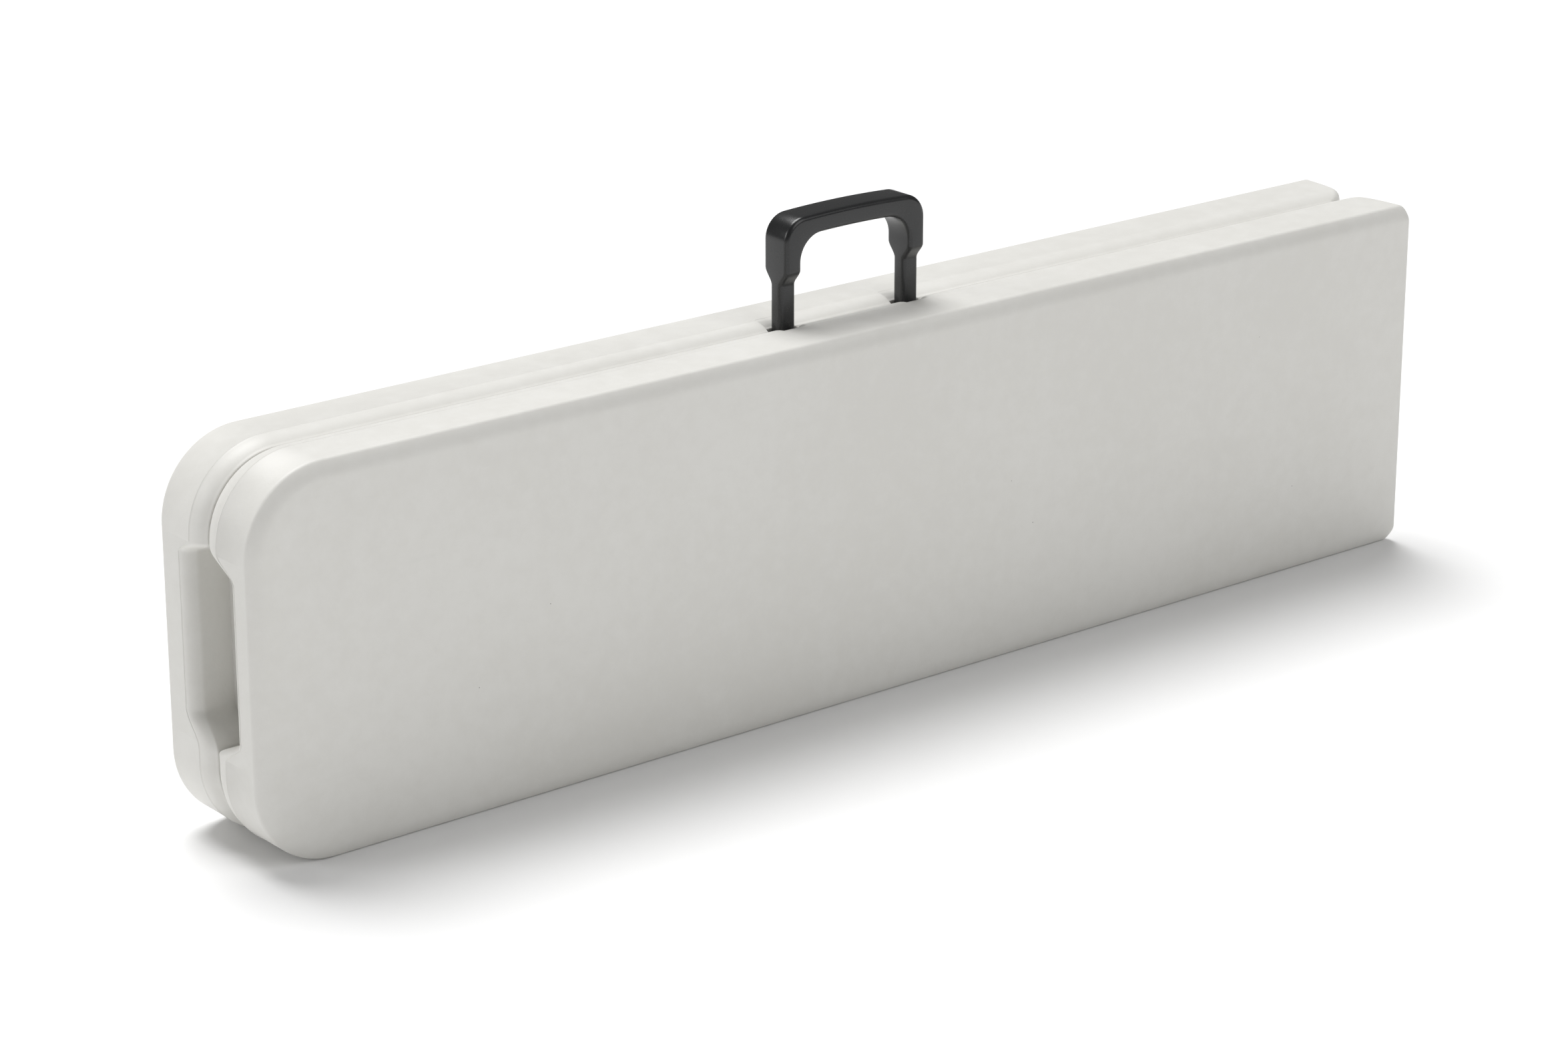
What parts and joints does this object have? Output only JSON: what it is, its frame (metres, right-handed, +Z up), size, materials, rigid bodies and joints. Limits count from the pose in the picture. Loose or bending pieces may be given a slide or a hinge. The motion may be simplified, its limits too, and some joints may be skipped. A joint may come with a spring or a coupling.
{
  "type": "folding bench",
  "caption": "White moulded plastic folding bench or narrow folding table, folded in half, standing on its long edge with its black carry handle up, with steel legs folded inside.",
  "frame": {"origin": "bottom centre of the folded bench's bounding box", "axes": "+X along the bench from the carrying end to the hinge end, +Y from the front half to the rear half, +Z up through the carry handle"},
  "size_m": [0.9302, 0.098, 0.309],
  "materials": {
    "moulded_plastic": "fine-textured white polyethylene with faint moulding lines",
    "black_plastic": "semi-gloss black polypropylene",
    "powder_coated_steel": "grey powder coat",
    "plated_steel": "zinc plated"
  },
  "bodies": {
    "front_half": {"catch_screw_front_lower": "plated_steel", "catch_screw_front_upper": "plated_steel", "guide_rivet_1": "plated_steel", "guide_rivet_2": "plated_steel", "guide_rivet_3": "plated_steel", "guide_rivet_4": "plated_steel", "handle_guide_left": "plated_steel", "handle_guide_right": "plated_steel", "hinge_pin_lower": "plated_steel", "hinge_pin_upper": "plated_steel", "hinge_strap_front_lower": "plated_steel", "hinge_strap_front_upper": "plated_steel", "leg_bush_front_lower": "black_plastic", "leg_bush_front_upper": "black_plastic", "leg_pivot_rod_front": "plated_steel", "rail_front_lower": "powder_coated_steel", "rail_front_upper": "powder_coated_steel", "rail_screw_front_lower_inner": "plated_steel", "rail_screw_front_lower_outer": "plated_steel", "rail_screw_front_upper_inner": "plated_steel", "rail_screw_front_upper_outer": "plated_steel", "stay_catch_front": "black_plastic", "strap_rivet_front_lower_inner": "plated_steel", "strap_rivet_front_lower_outer": "plated_steel", "strap_rivet_front_upper_inner": "plated_steel", "strap_rivet_front_upper_outer": "plated_steel", "top_front": "moulded_plastic"},
    "rear_half": {"catch_screw_rear_lower": "plated_steel", "catch_screw_rear_upper": "plated_steel", "hinge_strap_rear_lower": "plated_steel", "hinge_strap_rear_upper": "plated_steel", "leg_bush_rear_lower": "black_plastic", "leg_bush_rear_upper": "black_plastic", "leg_pivot_rod_rear": "plated_steel", "rail_rear_lower": "powder_coated_steel", "rail_rear_upper": "powder_coated_steel", "rail_screw_rear_lower_inner": "plated_steel", "rail_screw_rear_lower_outer": "plated_steel", "rail_screw_rear_upper_inner": "plated_steel", "rail_screw_rear_upper_outer": "plated_steel", "stay_catch_rear": "black_plastic", "strap_rivet_rear_lower_inner": "plated_steel", "strap_rivet_rear_lower_outer": "plated_steel", "strap_rivet_rear_upper_inner": "plated_steel", "strap_rivet_rear_upper_outer": "plated_steel", "top_rear": "moulded_plastic"},
    "front_leg": {"foot_pad_front_lower": "black_plastic", "foot_pad_front_upper": "black_plastic", "leg_crossbar_front": "plated_steel", "leg_frame_front": "powder_coated_steel"},
    "rear_leg": {"foot_pad_rear_lower": "black_plastic", "foot_pad_rear_upper": "black_plastic", "leg_crossbar_rear": "plated_steel", "leg_frame_rear": "powder_coated_steel"},
    "front_stay": {"leg_stay_front": "plated_steel"},
    "rear_stay": {"leg_stay_rear": "plated_steel"},
    "handle": {"carry_handle": "black_plastic"}
  },
  "joints": [
    {"name": "fold", "type": "hinge", "parent": "front_half", "child": "rear_half", "pos_m": [0.45713, 0, 0.12], "axis": [0, 0, -1], "range_deg": [0, 180]},
    {"name": "front_leg_swing", "type": "hinge", "parent": "front_half", "child": "front_leg", "pos_m": [-0.39012, -0.0175, 0.12], "axis": [0, 0, 1], "range_deg": [0, 90]},
    {"name": "rear_leg_swing", "type": "hinge", "parent": "rear_half", "child": "rear_leg", "pos_m": [-0.39012, 0.0175, 0.12], "axis": [0, 0, -1], "range_deg": [0, 90]},
    {"name": "front_stay_swing", "type": "hinge", "parent": "front_leg", "child": "front_stay", "pos_m": [-0.26012, -0.0175, 0.12], "axis": [0, 0, -1], "range_deg": [0, 125.85]},
    {"name": "rear_stay_swing", "type": "hinge", "parent": "rear_leg", "child": "rear_stay", "pos_m": [-0.26012, 0.0175, 0.12], "axis": [0, 0, 1], "range_deg": [0, 125.85]},
    {"name": "handle_slide", "type": "slide", "parent": "front_half", "child": "handle", "axis": [0, 0, 1], "range_m": [-0.022, 0]}
  ],
  "couplings": [
    {"joint": "front_leg_swing", "follows": "fold", "ratio": 0.5},
    {"joint": "rear_leg_swing", "follows": "fold", "ratio": 0.5},
    {"joint": "front_stay_swing", "follows": "fold", "ratio": 0.69913},
    {"joint": "rear_stay_swing", "follows": "fold", "ratio": 0.69913}
  ]
}
